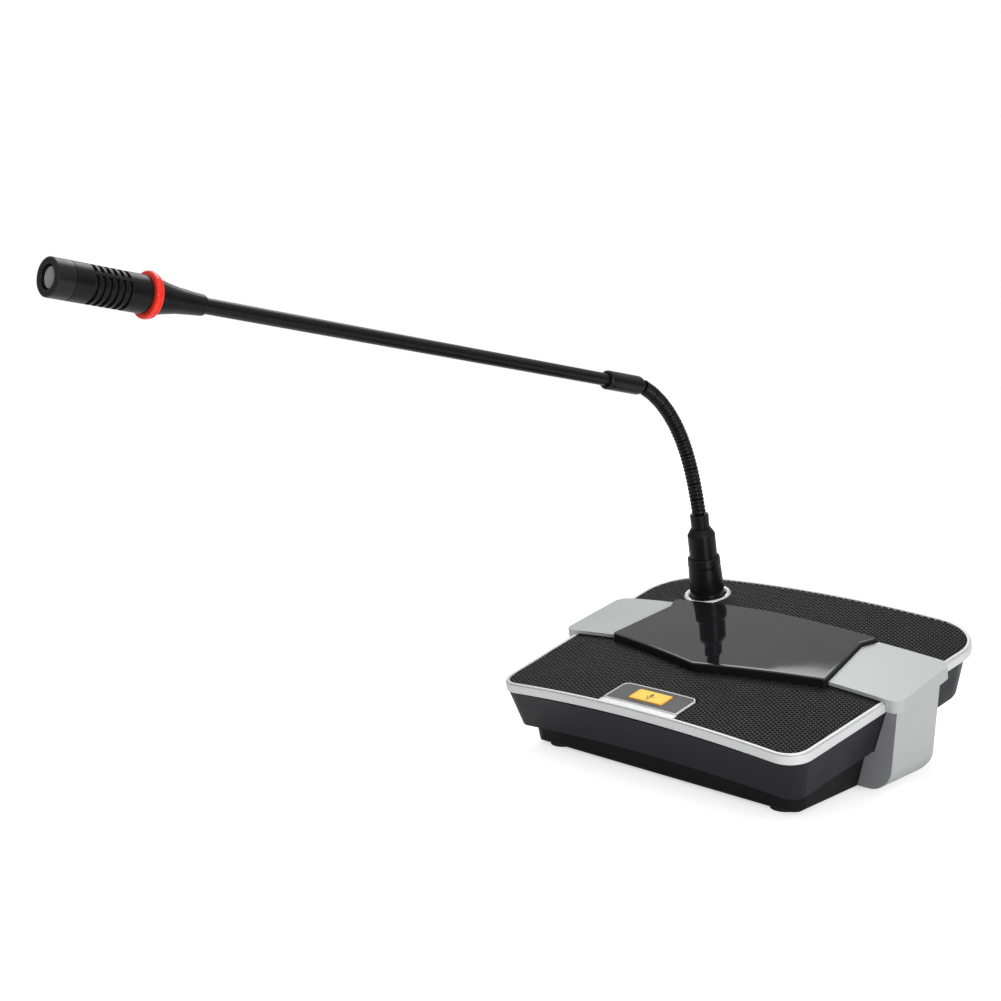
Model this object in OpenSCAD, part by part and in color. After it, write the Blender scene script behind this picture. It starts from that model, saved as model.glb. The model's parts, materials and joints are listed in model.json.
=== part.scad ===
// Gooseneck podium microphone on a sloping desktop base.
// Millimetres. +Z is up, the user sits on the -Y side, +X is the base's right.
// The origin is the centre of the base's footprint, on the plane its feet stand on.

/* [Base] */
// slope of the whole top surface, rising towards the rear, degrees
top_slope = 11.5; // [11.5:0.1:11.7]
// rise of the arched top surface from its side edges to its middle
crown = 4.9; // [4.6:0.1:5.0]
// thickness of moulded walls
wall = 2.6; // [2.2:0.1:3]
// height of the silver band around the top
band_h = 5.1; // [4.9:0.1:5.5]
// raised height of the gloss panel above the arched surface
panel_h = 4.2; // [3.5:0.1:4.5]

/* [Talk button] */
// width of the amber talk button
button_w = 20.6; // [18:0.2:21]
// depth of the amber talk button
button_d = 10; // [9:0.2:10.4]
// how far the button stands above its plate
button_proud = 0.35; // [0.25:0.05:0.5]

/* [Microphone] */
// number of jointed links in the gooseneck
link_count = 10; // [10:1:10]
// length of the flexible neck
neck_length = 93.4; // [93:0.1:94]
// outer diameter of the neck ribs
neck_d = 7.8; // [7.4:0.1:8]
// outer diameter of the slender stem
stem_d = 6.5; // [6.2:0.1:6.8]
// pitch of the stem above level, degrees
stem_pitch = 10.1; // [10:0.1:10.2]
// diameter of the head that holds the capsule
head_d = 15; // [14.8:0.1:15]
// outer diameter of the red light ring
ring_d = 18.6; // [18:0.1:19]

/* [Hidden] */
$fn = 64;
gap = 0.3;            // between neighbouring fixed pieces
ease = 0.02;          // how far a corner round runs past its tangent point
big = 400;

// placing of the sloping top: x across, v up the slope, h square to it
top_y = 11.8;
top_z = 52.8;

// silver top frame outline on the slope
rim_front = -93;
rim_rear = 71;
rim_front_half = 91.7;
rim_rear_half = 103.2;
rim_w = 2.2;
front_corner_r = 13;
rear_corner_r = 26.5;

// arched surface as part of a large cylinder
crown_half = 95;
crown_r = (crown_half * crown_half + crown * crown) / (2 * crown);

// drafted grey housing under the band
housing_bottom = -26;
housing_draft = 14.2;
housing_inset = 0.7;
housing_rear_inset = 2.2;
housing_rear_r = 30;

// black wedge under the grey housing
foot_h = 2;
cover_front = -60.2;
cover_rear = 60.2;
cover_half = 82;
cover_draft = 12.5;
cover_chamfer = 1.5;
cover_corner_r = 9;

// silver side covers
side_front = -24.7;
side_rear = 25.4;
side_out = 104.2;
side_top = 2;
skirt_bottom = -4.5;
leg_front = -9.8;
leg_rear = 29.6;
leg_out_top = 102.2;
leg_out_bottom = 99.6;
leg_round = 12;
leg_bottom = 3.2;

// button plate
plate_half = 22.3;
plate_front = -87.6;
plate_rear = -69.9;
button_v = -78.5;
travel = 1;
bezel_w = 0.6;
plate_top = 0.3;

// base socket and plug
socket_x = -56;
socket_v = 44.7;
socket_h = crown * (1 - pow(socket_x / crown_half, 2));
socket_ring_r = 13.3;
plug_r = 9.6;
shell_r = 9.45;
shell_depth = 12;
insert_r = 7.6;
pin_circle = 4.4;
pin_r = 1.2;

// neck
neck_start_h = 49.1;
neck_angle_first = 15.4;
neck_angle_last = 67.4;
neck_ease = 1.61;
link_len = neck_length / link_count;
ball_r = 2.2;
cup_r = 2.27;
ribs = 4;

// stem and head, measured along the stem from the neck's end
collar_r = 4.9;
collar_start = 1;
collar_end = 29.9;
cone_start = 279.4;
ring_back = 302.9;
ring_front = 306.4;
head_end = 347.6;
cap_len = 8;
slot_pitch = 2.85;
slot_w = 1.6;
slot_count = 6;
slot_first = 317;
slot_arc = 168;

// ---- helpers -------------------------------------------------------------

// a point moved by a distance along a direction given in degrees
function step(p, ang, d) = [p[0] + d * cos(ang), p[1] + d * sin(ang)];
function direction(p, q) = atan2(q[1] - p[1], q[0] - p[0]);
function before(i, n) = (i + n - 1) % n;
function after(i, n) = (i + 1) % n;

// centre of the round in the corner at q, between its neighbours p and s
function corner_centre(p, q, s, r) =
    let (a = direction(q, p), b = direction(q, s),
         half = acos(cos(a) * cos(b) + sin(a) * sin(b)) / 2,
         mid = atan2(sin(a) + sin(b), cos(a) + cos(b)))
    step(q, mid, r / sin(half));

// the wedge of material outside the round of the corner at q; ease lets the round cross the walls cleanly
module corner_waste(p, q, s, r, low, high, r_low, r_high) {
    c = corner_centre(p, q, s, r);
    a = direction(p, q) - 90;
    b = direction(q, s) - 90;
    difference() {
        translate([0, 0, low])
            linear_extrude(height = high - low)
                polygon([c, step(c, a, 60), step(step(c, a, 60), b, 60), step(c, b, 60)]);
        translate([c[0], c[1], low])
            cylinder(r1 = r_low + ease, r2 = r_high + ease, h = high - low);
    }
}

// upright block with a true round at each corner that has a radius
module rounded_block(pts, radii, low, high) {
    n = len(pts);
    difference() {
        translate([0, 0, low])
            linear_extrude(height = high - low)
                polygon(pts);
        for (i = [0 : n - 1])
            if (radii[i] > 0)
                corner_waste(pts[before(i, n)], pts[i], pts[after(i, n)], radii[i],
                    low - 1, high + 1, radii[i], radii[i]);
    }
}

// small rectangle with rounded corners, for the talk button parts
module rounded_rect(x, y0, y1, r_front, r_rear) {
    polygon([[-x, y0 + r_front], [-x + r_front, y0], [x - r_front, y0], [x, y0 + r_front],
        [x, y1 - r_rear], [x - r_rear, y1], [-x + r_rear, y1], [-x, y1 - r_rear]]);
    for (s = [-1, 1]) {
        translate([s * (x - r_front), y0 + r_front])
            circle(r = r_front);
        translate([s * (x - r_rear), y1 - r_rear])
            circle(r = r_rear);
    }
}

// four-sided outline, symmetric about X = 0: front and rear position, front and rear half width
function trapezoid(front, rear, half_f, half_r) =
    [[-half_f, front], [half_f, front], [half_r, rear], [-half_r, rear]];

// block whose walls lean inwards going down, with coned corners; the outline holds at level z_ref
module drafted_block(pts, radii, draft, z_ref, z_low, z_high, inset) {
    n = len(pts);
    difference() {
        translate([-150, -150, z_low])
            cube([300, 300, z_high - z_low]);
        for (i = [0 : n - 1]) {
            p = pts[i];
            q = pts[after(i, n)];
            translate([p[0], p[1], z_ref])
                rotate([0, 0, direction(p, q)])
                    rotate([draft, 0, 0])
                        translate([-150, inset - 150, -100])
                            cube([600, 150, 200]);
        }
        for (i = [0 : n - 1])
            if (radii[i] > 0)
                corner_waste(pts[before(i, n)], pts[i], pts[after(i, n)], radii[i], z_low - 1, z_high + 1,
                    radii[i] - inset / cos(draft) + (z_low - 1 - z_ref) * tan(draft),
                    radii[i] - inset / cos(draft) + (z_high + 1 - z_ref) * tan(draft));
    }
}

// everything below the arched surface that lies at height h along the side edges
module under_crown(h) {
    translate([0, 0, h + crown - crown_r])
        rotate([90, 0, 0])
            cylinder(r = crown_r, h = big, center = true, $fn = 720);
}

// arched sheet between two heights, cut to the outline given as child
module arched(low, high) {
    difference() {
        intersection() {
            translate([0, 0, low - 4])
                linear_extrude(height = high - low + crown + 8)
                    children();
            under_crown(high);
        }
        under_crown(low);
    }
}

module on_slope() {
    translate([0, top_y, top_z])
        rotate([top_slope, 0, 0])
            children();
}

module tube(r, r_in, z0, z1) {
    translate([0, 0, z0])
        difference() {
            cylinder(r = r, h = z1 - z0);
            translate([0, 0, -1])
                cylinder(r = r_in, h = z1 - z0 + 2);
        }
}

// ---- outlines ------------------------------------------------------------

function rim_half(v) =
    rim_front_half + (v - rim_front) * (rim_rear_half - rim_front_half) / (rim_rear - rim_front);

module rim_block(inset, low, high) {
    rounded_block(
        trapezoid(rim_front + inset, rim_rear - inset, rim_half(rim_front) - inset, rim_half(rim_rear) - inset),
        [front_corner_r - inset, front_corner_r - inset, rear_corner_r - inset, rear_corner_r - inset],
        low, high);
}

module panel_outline(grow) {
    polygon([[-66.5 - grow, -27], [0, -44 - grow], [66.5 + grow, -27], [60 + grow, 16], [64.6 + grow, 26 + grow],
        [0, 28.4 + grow], [-64.6 - grow, 26 + grow], [-60 - grow, 16]]);
}

module plate_outline(inset) {
    rounded_rect(plate_half - inset, plate_front + inset / 2, plate_rear - inset, 0.4, 3.4 - inset);
}

module button_outline(grow, r) {
    translate([0, button_v])
        rounded_rect(button_w / 2 + grow, -button_d / 2 - grow, button_d / 2 + grow, r, r);
}

housing_pts = trapezoid(rim_front + housing_inset, rim_rear - housing_rear_inset,
    rim_front_half - housing_inset, rim_rear_half - housing_inset);
housing_radii = [front_corner_r, front_corner_r, housing_rear_r, housing_rear_r];

module housing_block(inset, low, high, round) {
    drafted_block(housing_pts, round ? housing_radii : [0, 0, 0, 0], housing_draft, -band_h, low, high, inset);
}

cover_pts = trapezoid(cover_front - cover_chamfer, cover_rear + cover_chamfer, cover_half, cover_half);

// the wedge is wider at the top; its outline holds just above the bottom chamfer
module cover_block(inset, low, high, round) {
    r = cover_corner_r;
    drafted_block(cover_pts, round ? [r, r, r, r] : [0, 0, 0, 0], cover_draft,
        foot_h + cover_chamfer, low, high, inset);
}

// ---- base shells ---------------------------------------------------------

outlet_z = 21.5;
outlet_face = 59.5;
foot_spots = [[-69, -52.5], [69, -52.5], [-69, 52.5], [69, 52.5]];
screw_spots = [[-73, -30], [73, -30], [-73, 30], [73, 30]];
pillar_spots = [[-46, -26], [46, -26], [-46, 32], [46, 32]];

module bottom_cover() {
    color([0.06, 0.06, 0.065])
        difference() {
            intersection() {
                cover_block(0, foot_h, 62, true);
                on_slope() under_crown(housing_bottom - gap);
                // chamfer around the bottom edge
                drafted_block(cover_pts, [0, 0, 0, 0], 45, foot_h + cover_chamfer, foot_h, 62, 0);
            }
            difference() {
                intersection() {
                    cover_block(wall, foot_h + wall, 63, true);
                    on_slope() under_crown(housing_bottom + 4);
                }
                // thick wall around the outlet pocket
                translate([-17, outlet_face - 2.6, 0])
                    cube([34, 40, 80]);
            }
            // pocket for the outlet flange in the rear wall
            translate([-14, outlet_face, outlet_z - 16.5])
                cube([28, 30, 33]);
            translate([0, outlet_face + 1, outlet_z])
                rotate([90, 0, 0])
                    cylinder(r = 11.6, h = 12);
            for (p = screw_spots)
                translate([p[0], p[1], 0]) {
                    cylinder(r = 1.7, h = 10);
                    cylinder(r = 3.2, h = foot_h + 1.4);
                }
        }
}

module rubber_feet() {
    color([0.03, 0.03, 0.03])
        for (p = foot_spots)
            translate([p[0], p[1], 0]) {
                cylinder(r = 6.3, h = foot_h - 0.8);
                translate([0, 0, foot_h - 0.8])
                    cylinder(r = 6.6, h = 0.8);
            }
}

module bottom_screws() {
    color([0.35, 0.35, 0.37])
        for (p = screw_spots)
            translate([p[0], p[1], foot_h + 0.1])
                difference() {
                    union() {
                        cylinder(r = 2.9, h = 1.2);
                        cylinder(r = 1.45, h = 12);
                    }
                    translate([0, 0, -1])
                        cylinder(r = 1.3, h = 1.7, $fn = 6);
                }
}

module ballast_plate() {
    color([0.4, 0.41, 0.43])
        difference() {
            translate([-60, -46, 5])
                cube([120, 92, 6.5]);
            for (p = pillar_spots)
                translate([p[0], p[1], 4])
                    cylinder(r = 4, h = 9);
            for (s = [-1, 1], t = [-1, 1])
                translate([s * 60, t * 46, 4])
                    cylinder(r = 12, h = 9);
        }
}

module housing_shell() {
    on_slope()
            difference() {
                intersection() {
                    housing_block(0, housing_bottom - 1, 8, true);
                    under_crown(-band_h - gap);
                }
                under_crown(housing_bottom);
                // open well, leaving a floor ledge that rests on the black wedge
                difference() {
                    intersection() {
                        housing_block(wall, housing_bottom - 2, 9, true);
                        under_crown(9);
                    }
                    under_crown(housing_bottom + wall);
                }
                // opening through the floor ledge
                rounded_block(trapezoid(rim_front + 22, rim_rear - 22, rim_front_half - 24, rim_rear_half - 34),
                    [8, 8, 8, 8], housing_bottom - 3, 14);
            }
}

module upper_housing() {
    color([0.16, 0.16, 0.175]) {
        difference() {
            union() {
                housing_shell();
                // bosses the bottom screws bite into
                intersection() {
                    for (p = screw_spots)
                        translate([p[0], p[1], foot_h + wall + 0.4])
                            cylinder(r = 4, h = 40);
                    on_slope() under_crown(housing_bottom + 1);
                }
            }
            for (p = screw_spots)
                translate([p[0], p[1], 0])
                    cylinder(r = 1.5, h = 15);
        }
        // posts that carry the talk button board
        on_slope()
            for (s = [-1, 1])
                translate([s * 17, button_v, 0]) {
                    translate([0, 0, housing_bottom + 4])
                        cylinder(r = 2.6, h = crown - 12.7 - housing_bottom - 4);
                    translate([0, 0, crown - 13])
                        cylinder(r = 1.1, h = 3);
                }
    }
}

module top_frame() {
    color([0.78, 0.78, 0.79])
        on_slope()
            difference() {
                intersection() {
                    rim_block(0, -12, 12);
                    under_crown(0);
                }
                under_crown(-band_h);
                // seat for the grilles, leaving the silver strip in front of the button plate
                difference() {
                    rim_block(rim_w, -13, 13);
                    under_crown(-1.5);
                    translate([-plate_half - 0.6, -100, -20])
                        cube([2 * plate_half + 1.2, 100 + plate_front - gap / 2, 40]);
                }
                // openings under the front and rear grilles
                translate([0, 0, -13])
                    linear_extrude(height = 26)
                        polygon([[-82, -86], [82, -86], [86, -26], [-86, -26]]);
                difference() {
                    translate([0, 0, -13])
                        linear_extrude(height = 26)
                            polygon([[-88, 26], [88, 26], [76, 63], [-76, 63]]);
                    // carrier for the socket
                    translate([socket_x, socket_v, -14])
                        cylinder(r = 17, h = 28);
                    translate([socket_x - 5, 20, -14])
                        cube([10, 50, 28]);
                }
                translate([socket_x, socket_v, -20])
                    cylinder(r = 12.3, h = 40);
                translate([socket_x, socket_v, socket_h - 1.9])
                    cylinder(r = socket_ring_r + gap, h = 20);
                // passage for wiring through the bridge
                translate([-30, -12, -20])
                    cube([60, 24, 40]);
            }
}

module grille_sheet() {
    difference() {
        intersection() {
            rim_block(rim_w + gap, -12, 12);
            under_crown(-0.4);
        }
        under_crown(-1.2);
    }
}

module front_grille() {
    color([0.05, 0.05, 0.05])
        on_slope()
            difference() {
                grille_sheet();
                translate([-110, -23, -20])
                    cube([220, 120, 40]);
                // cut-out for the talk button and the silver strip
                translate([-plate_half - 0.9, -100, -20])
                    cube([2 * plate_half + 1.8, 100 + plate_front + 1, 40]);
                translate([-plate_half + 1, -100, -20])
                    cube([2 * plate_half - 2, 100 + plate_rear - 1, 40]);
            }
}

module rear_grille() {
    color([0.05, 0.05, 0.05])
        on_slope()
            difference() {
                grille_sheet();
                translate([-110, -100, -20])
                    cube([220, 122, 40]);
                translate([socket_x, socket_v, -10])
                    cylinder(r = socket_ring_r + gap, h = 30);
            }
}

// leg of a side cover: square front edge, round lower rear corner, round outer lower edge
module side_leg() {
    difference() {
        intersection() {
            rotate([90, 0, 0])
                rounded_block([[74, leg_bottom], [leg_out_bottom, leg_bottom], [leg_out_top, 52], [74, 52]],
                    [0, leg_round, 0, 0], -leg_rear, -leg_front);
            rotate([90, 0, 90])
                rounded_block([[leg_front - 5, leg_bottom], [leg_rear, leg_bottom], [leg_rear, 60], [leg_front - 5, 60]],
                    [0, leg_round, 0, 0], 60, 120);
            on_slope() under_crown(skirt_bottom + 1);
        }
        on_slope() housing_block(-gap, housing_bottom - gap, 20, false);
        cover_block(-gap, foot_h - 1, 62, false);
        // clear of the silver band
        on_slope()
            difference() {
                rim_block(-gap, -16, 13);
                under_crown(-band_h - gap);
            }
        // hollow behind the outer wall
        translate([0, leg_front + 2.5, foot_h + 10])
            cube([leg_out_bottom - 3, leg_rear - leg_front - 5, 60]);
    }
}

module side_cover_right() {
    on_slope()
        difference() {
            intersection() {
                rounded_block([[55, side_front], [side_out, side_front], [side_out, side_rear], [55, side_rear]],
                    [0, 6, 6, 0], -12, 12);
                under_crown(side_top);
            }
            under_crown(skirt_bottom);
            translate([0, 0, -20])
                linear_extrude(height = 40)
                    panel_outline(gap);
            // the plate lies on the silver frame, and its skirt hides the band
            intersection() {
                rim_block(-gap, -13, 13);
                under_crown(0.15);
            }
        }
    side_leg();
}

module right_side_cover() {
    color([0.8, 0.8, 0.81])
        side_cover_right();
}

module left_side_cover() {
    color([0.8, 0.8, 0.81])
        mirror([1, 0, 0])
            side_cover_right();
}

module gloss_panel() {
    color([0.2, 0.2, 0.22])
        on_slope()
            difference() {
                arched(0, panel_h)
                    panel_outline(0);
                // clearance under the panel
                arched(-2, panel_h - 2.4)
                    polygon([[-58, -22], [0, -36], [58, -22], [55, 14], [55, 20], [-55, 20], [-55, 14]]);
            }
}

// ---- talk button ---------------------------------------------------------

module button_bezel() {
    color([0.8, 0.8, 0.8])
        on_slope()
            arched(-0.3, 0.45)
                difference() {
                    plate_outline(0);
                    plate_outline(bezel_w);
                }
}

module button_plate() {
    color([0.25, 0.25, 0.27])
        on_slope()
            difference() {
                arched(-0.3, plate_top)
                    plate_outline(bezel_w + 0.05);
                translate([0, 0, -10])
                    linear_extrude(height = 30)
                        button_outline(0.8, 0.9);
            }
}

module button_halo() {
    color([0.62, 0.3, 0.08])
        on_slope()
            difference() {
                union() {
                    arched(-0.3, plate_top + 0.05)
                        button_outline(0.7, 0.8);
                    arched(-2.2, -0.35)
                        button_outline(2.1, 1.2);
                }
                translate([0, 0, -10])
                    linear_extrude(height = 30)
                        button_outline(0.2, 0.6);
            }
}

module talk_button() {
    color([0.98, 0.8, 0.2])
        on_slope()
            union() {
                arched(-2.6, plate_top + button_proud)
                    button_outline(0, 0.6);
                // lip that keeps the button in
                arched(-3.6, -2.5)
                    button_outline(1.2, 0.6);
                // foot that presses the switch
                translate([-3, button_v - 3, crown - 5.2])
                    cube([6, 6, 3]);
            }
}

module tact_switch() {
    color([0.1, 0.1, 0.11])
        on_slope()
            translate([0, button_v, crown - 10.95]) {
                translate([-3, -3, 0])
                    cube([6, 6, 3.6]);
                translate([0, 0, 3.5])
                    cylinder(r = 1.7, h = 1.2);
            }
}

module control_board() {
    color([0.05, 0.3, 0.14])
        on_slope()
            difference() {
                translate([-20, button_v - 7, crown - 12.65])
                    cube([40, 16, 1.6]);
                for (s = [-1, 1])
                    translate([s * 17, button_v, crown - 14])
                        cylinder(r = 1.2, h = 4);
            }
}

// ---- inside the base -----------------------------------------------------

module main_board() {
    color([0.05, 0.3, 0.14])
        difference() {
            union() {
                translate([-52, -32, 18])
                    cube([104, 70, 1.6]);
                // larger components
                translate([-30, 8, 19.6])
                    cube([22, 16, 6]);
                translate([6, 12, 19.6])
                    cylinder(r = 4, h = 8);
                translate([18, 12, 19.6])
                    cylinder(r = 4, h = 8);
                translate([28, -14, 19.6])
                    cube([12, 14, 3]);
            }
            for (p = pillar_spots)
                translate([p[0], p[1], 17])
                    cylinder(r = 1.7, h = 4);
        }
}

module board_pillars() {
    color([0.75, 0.62, 0.3])
        for (p = pillar_spots)
            translate([p[0], p[1], 0]) {
                translate([0, 0, foot_h + wall])
                    cylinder(r = 3, h = 18 - foot_h - wall);
                translate([0, 0, 17.9])
                    cylinder(r = 1.5, h = 3);
                translate([0, 0, 19.7])
                    cylinder(r = 3, h = 1.6);
            }
}

module at_socket() {
    on_slope()
        translate([socket_x, socket_v, socket_h])
            children();
}

// three contact places of the audio connector, around the middle
module three_ways() {
    for (a = [30, 150, 270])
        rotate([0, 0, a])
            translate([pin_circle, 0, 0])
                children();
}

module socket_ring() {
    color([0.9, 0.9, 0.9])
        at_socket()
            rotate_extrude()
                polygon([[10.2, -4.6], [12, -4.6], [12, -1.6], [socket_ring_r, -1.6], [socket_ring_r, 0.7],
                    [socket_ring_r - 0.7, 1.4], [11, 1.4], [10.2, 0.6]]);
}

module base_socket() {
    color([0.05, 0.05, 0.05])
        at_socket() {
            difference() {
                union() {
                    tube(11.9, 9.75, -17, -4.8);
                    translate([0, 0, -17])
                        cylinder(r = 11.9, h = 3.5);
                    translate([0, 0, -17])
                        cylinder(r = insert_r, h = 16);
                    // lug for the mounting screw
                    translate([-3, 9.9, -17])
                        cube([6, 6, 5]);
                }
                three_ways()
                    translate([0, 0, -18])
                        cylinder(r = pin_r + 0.5, h = 20);
                translate([0, 13.6, -18])
                    cylinder(r = 1.2, h = 8);
            }
        }
}

module socket_contacts() {
    color([0.85, 0.7, 0.35])
        at_socket()
            three_ways() {
                tube(pin_r + 0.4, pin_r + 0.06, -16, -2.5);
                translate([0, 0, -22])
                    cylinder(r = 0.8, h = 5.9);
                translate([0, 0, -17.1])
                    cylinder(r = pin_r + 0.4, h = 1.2);
            }
}

module at_outlet() {
    translate([0, outlet_face, outlet_z])
        rotate([-90, 0, 0])
            children();
}

module outlet_flange() {
    color([0.12, 0.12, 0.13])
        at_outlet()
            difference() {
                union() {
                    translate([-13, -15.5, 0.1])
                        cube([26, 31, 1.8]);
                    translate([0, 0, -11])
                        cylinder(r = 11.2, h = 11.2);
                }
                translate([0, 0, -12])
                    cylinder(r = 8.15, h = 20);
                // lead-in ring at the mouth
                translate([0, 0, -1.1])
                    cylinder(r = 8.7, h = 10);
                for (s = [-1, 1])
                    translate([s * 9.5, s * 12, -2])
                        cylinder(r = 1.7, h = 8);
            }
}

module outlet_insert() {
    color([0.04, 0.04, 0.04])
        at_outlet()
            difference() {
                translate([0, 0, -14.5])
                    cylinder(r = 8, h = 3.2);
                three_ways()
                    translate([0, 0, -16])
                        cylinder(r = pin_r + 0.05, h = 8);
            }
}

module outlet_pins() {
    color([0.85, 0.85, 0.85])
        at_outlet()
            three_ways() {
                translate([0, 0, -18])
                    cylinder(r = pin_r, h = 15);
                translate([0, 0, -3])
                    sphere(r = pin_r);
            }
}

module outlet_screws() {
    color([0.3, 0.3, 0.32])
        at_outlet()
            for (s = [-1, 1])
                translate([s * 9.5, s * 12, 0])
                    difference() {
                        union() {
                            translate([0, 0, 2])
                                cylinder(r = 2.6, h = 1.2);
                            translate([0, 0, 0.15])
                                cylinder(r = 1.4, h = 2);
                        }
                        translate([0, 0, 2.5])
                            cylinder(r = 1.1, h = 2, $fn = 6);
                    }
}

// one straight run of insulated wire between two points, with a round bend at its start
module wire_run(p, q, r) {
    d = [q[0] - p[0], q[1] - p[1], q[2] - p[2]];
    reach = norm(d);
    translate(p)
        rotate([0, acos(d[2] / reach), atan2(d[1], d[0])])
            cylinder(r = r, h = reach);
    translate(p)
        sphere(r = r * 1.15);
}

module wire_loom() {
    color([0.5, 0.08, 0.06]) {
        // from the rear outlet to the board
        wire_run([0, 36, 25], [0, 39.5, 21.5], 1.5);
        wire_run([0, 36, 25], [0, 31, 21.3], 1.5);
        // from the base socket to the board
        wire_run([-42, 32, 33], [-52, 58, 41], 1.5);
        wire_run([-42, 32, 33], [-40, 24, 21.3], 1.5);
        // from the talk button board to the main board
        wire_run([0, -30, 26], [0, -52.5, 29.8], 1.5);
        wire_run([0, -30, 26], [0, -20, 21.3], 1.5);
    }
}

// ---- plug at the foot of the neck ----------------------------------------

module plug_shell() {
    color([0.06, 0.06, 0.062])
        at_socket()
            rotate_extrude()
                polygon([[8, -shell_depth], [shell_r, -shell_depth], [shell_r, 0.2], [plug_r, 0.8],
                    [plug_r, 5], [9.15, 16.4], [9, 17], [9, 18.6], [9.15, 19.2], [8.95, 23],
                    [8.4, 23.7], [7.85, 23.7], [7.85, 4], [8, 3.6]]);
}

module plug_insert() {
    color([0.04, 0.04, 0.04])
        at_socket()
            difference() {
                translate([0, 0, -0.6])
                    cylinder(r = 7.8, h = 4);
                three_ways()
                    translate([0, 0, -2])
                        cylinder(r = pin_r + 0.03, h = 8);
            }
}

module plug_pins() {
    color([0.85, 0.85, 0.85])
        at_socket()
            three_ways() {
                translate([0, 0, -11.5])
                    cylinder(r = pin_r, h = 15.7);
                translate([0, 0, -11.5])
                    sphere(r = pin_r);
            }
}

module plug_body() {
    color([0.07, 0.07, 0.073])
        at_socket()
            rotate_extrude()
                polygon([[5.2, 4.4], [7.7, 4.4], [7.7, 36.6], [7.3, 37.4], [5.4, 40.6], [3.4, 40.6],
                    [3.4, 36], [5.2, 34]]);
}

module neck_sleeve() {
    color([0.06, 0.06, 0.062])
        at_socket()
            difference() {
                rotate_extrude()
                    polygon([[1, 36], [3.3, 36], [3.3, 40.7], [5.05, 40.7], [5.2, 48], [4.8, 48.6], [3.2, 48.5],
                        [1, 48.5]]);
                translate([0, 0, neck_start_h])
                    sphere(r = cup_r);
            }
}

// ---- jointed neck --------------------------------------------------------

// foot of the plug axis, where it leaves the arched surface
plug_y = top_y + socket_v * cos(top_slope) - socket_h * sin(top_slope);
plug_z = top_z + socket_v * sin(top_slope) + socket_h * cos(top_slope);

// lean of link i from upright towards the user
function lean(i) =
    neck_angle_first + (neck_angle_last - neck_angle_first) * pow((i + 0.5) / link_count, neck_ease);

// [y, z] of joint i: joint 0 sits in the sleeve, the last one at the collar
function joint_at(i) = i == 0
    ? [plug_y - neck_start_h * sin(top_slope), plug_z + neck_start_h * cos(top_slope)]
    : let (p = joint_at(i - 1), a = lean(i - 1))
        [p[0] - link_len * sin(a), p[1] + link_len * cos(a)];

module at_joint(i, ang) {
    p = joint_at(i);
    translate([socket_x, p[0], p[1]])
        rotate([ang, 0, 0])
            children();
}

// one link: a ball in the cup below, a ribbed barrel, and a cup for the next ball
module neck_link(i) {
    face = 0.75;
    barrel = link_len - 2 * face;
    rib_pitch = link_len / ribs;
    color([0.07, 0.07, 0.073])
        at_joint(i, lean(i))
            difference() {
                union() {
                    sphere(r = ball_r);
                    translate([0, 0, face])
                        cylinder(r = neck_d / 2 - 0.55, h = barrel);
                    for (k = [0 : ribs - 1])
                        translate([0, 0, (k + 0.5) * rib_pitch - 0.62])
                            cylinder(r = neck_d / 2, h = 1.24);
                }
                translate([0, 0, link_len])
                    sphere(r = cup_r);
                // way for the signal wire
                translate([0, 0, -3])
                    cylinder(r = 0.8, h = link_len + 6);
            }
}

module neck_link_01() { neck_link(0); }
module neck_link_02() { neck_link(1); }
module neck_link_03() { neck_link(2); }
module neck_link_04() { neck_link(3); }
module neck_link_05() { neck_link(4); }
module neck_link_06() { neck_link(5); }
module neck_link_07() { neck_link(6); }
module neck_link_08() { neck_link(7); }
module neck_link_09() { neck_link(8); }
module neck_link_10() { neck_link(9); }

// ---- stem and head -------------------------------------------------------

module on_stem() {
    at_joint(link_count, 90 - stem_pitch)
        children();
}

module neck_collar() {
    color([0.065, 0.065, 0.068])
        on_stem()
            difference() {
                union() {
                    sphere(r = ball_r);
                    rotate_extrude()
                        polygon([[0, collar_start - 0.4], [2.6, collar_start], [3.4, collar_start + 0.2],
                            [collar_r, collar_start + 3.2], [collar_r, collar_end - 0.8],
                            [collar_r - 0.8, collar_end], [stem_d / 2 + 0.05, collar_end],
                            [stem_d / 2 + 0.05, collar_end - 16], [0, collar_end - 16]]);
                }
                translate([0, 0, -3])
                    cylinder(r = 0.8, h = collar_end);
            }
}

module stem_tube() {
    color([0.07, 0.07, 0.073])
        on_stem()
            tube(stem_d / 2, stem_d / 2 - 0.8, collar_end - 15.9, cone_start + 4);
}

module head_cone() {
    color([0.06, 0.06, 0.062])
        on_stem()
            rotate_extrude()
                polygon([[stem_d / 2 + 0.05, cone_start], [4.1, cone_start], [4.25, cone_start + 0.5],
                    [5.3, cone_start + 13], [7.2, ring_back - 0.9], [7.3, ring_back - 0.1],
                    [6.4, ring_back - 0.1], [6.4, ring_front - 3], [5.4, ring_front - 3],
                    [5.4, ring_back - 3], [3.9, cone_start + 8], [stem_d / 2 + 0.05, cone_start + 6]]);
}

module light_ring() {
    color([0.9, 0.15, 0.12, 0.9])
        on_stem()
            rotate_extrude()
                polygon([[6.5, ring_back], [ring_d / 2 - 0.8, ring_back], [ring_d / 2 - 0.4, ring_back + 0.4],
                    [ring_d / 2 - 0.4, ring_back + 1.1], [ring_d / 2 - 0.9, ring_back + 1.3],
                    [ring_d / 2 - 0.9, ring_back + 1.6], [ring_d / 2, ring_back + 1.8],
                    [ring_d / 2, ring_front - 0.6], [ring_d / 2 - 0.5, ring_front], [6.5, ring_front]]);
}

module ring_light_board() {
    color([0.05, 0.3, 0.14])
        on_stem()
            tube(5.2, 2.2, ring_back + 0.6, ring_back + 1.8);
}

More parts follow.
